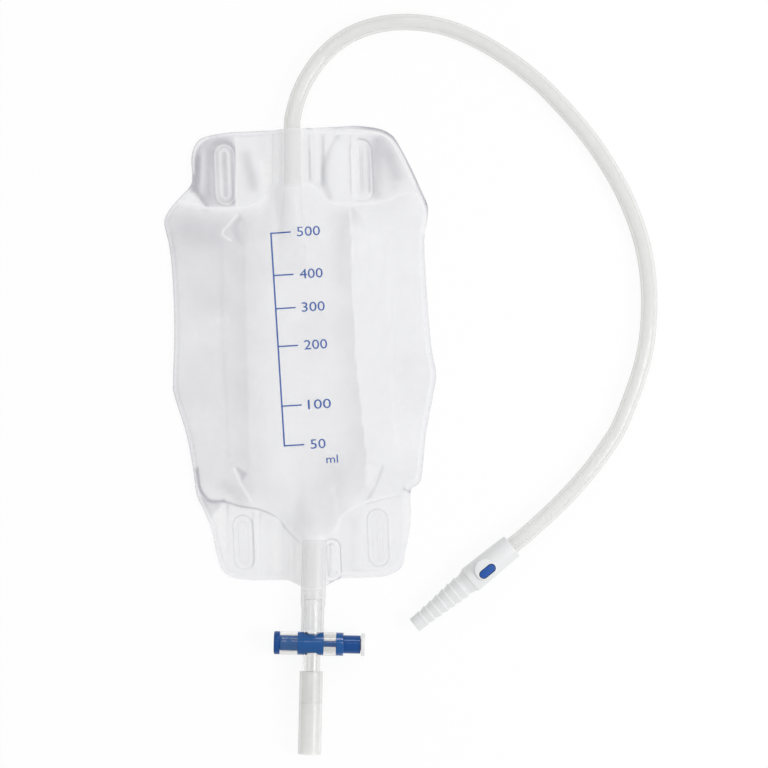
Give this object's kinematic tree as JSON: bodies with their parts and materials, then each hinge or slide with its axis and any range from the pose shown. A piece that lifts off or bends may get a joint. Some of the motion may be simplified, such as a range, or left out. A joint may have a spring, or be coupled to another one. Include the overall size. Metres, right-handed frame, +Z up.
{
  "type": "urine drainage leg bag",
  "caption": "Flat welded film leg bag with strap slots, inlet tube ending in a barbed catheter connector with sampling port, and a push-pull slide valve with outlet sleeve.",
  "frame": {"origin": "middle of the bag's flat underside, on the surface it lies on", "axes": "+Y towards the inlet end, +Z up out of the printed front film, +X to the right seen from the front"},
  "size_m": [0.2434, 0.3671, 0.0153],
  "materials": {
    "film_vinyl": "satin clear soft vinyl film, weld-embossed",
    "valve_film": "thin clear vinyl film",
    "tube_vinyl": "frosted clear soft vinyl tube",
    "outlet_vinyl": "clear soft vinyl tube",
    "sleeve_vinyl": "translucent grey soft vinyl sleeve",
    "barrel_clear": "clear moulded plastic",
    "spool_blue": "glossy blue moulded plastic",
    "cap_white": "semi-gloss white moulded plastic",
    "connector_white": "satin white moulded plastic",
    "septum_blue": "matte blue elastomer"
  },
  "bodies": {
    "bag": {"bag_back_film": "film_vinyl", "bag_front_film": "film_vinyl", "non_return_valve": "valve_film", "inlet_tube": "tube_vinyl", "connector_body": "connector_white", "port_septum": "septum_blue", "outlet_tube": "outlet_vinyl", "valve_barrel": "barrel_clear", "outlet_sleeve": "sleeve_vinyl"},
    "spool": {"valve_spool": "spool_blue", "spool_end_cap": "cap_white"}
  },
  "joints": [
    {"name": "spool_slide", "type": "slide", "parent": "bag", "child": "spool", "axis": [-0.9976, 0.0685, 0], "range_m": [0, 0.0084]}
  ]
}
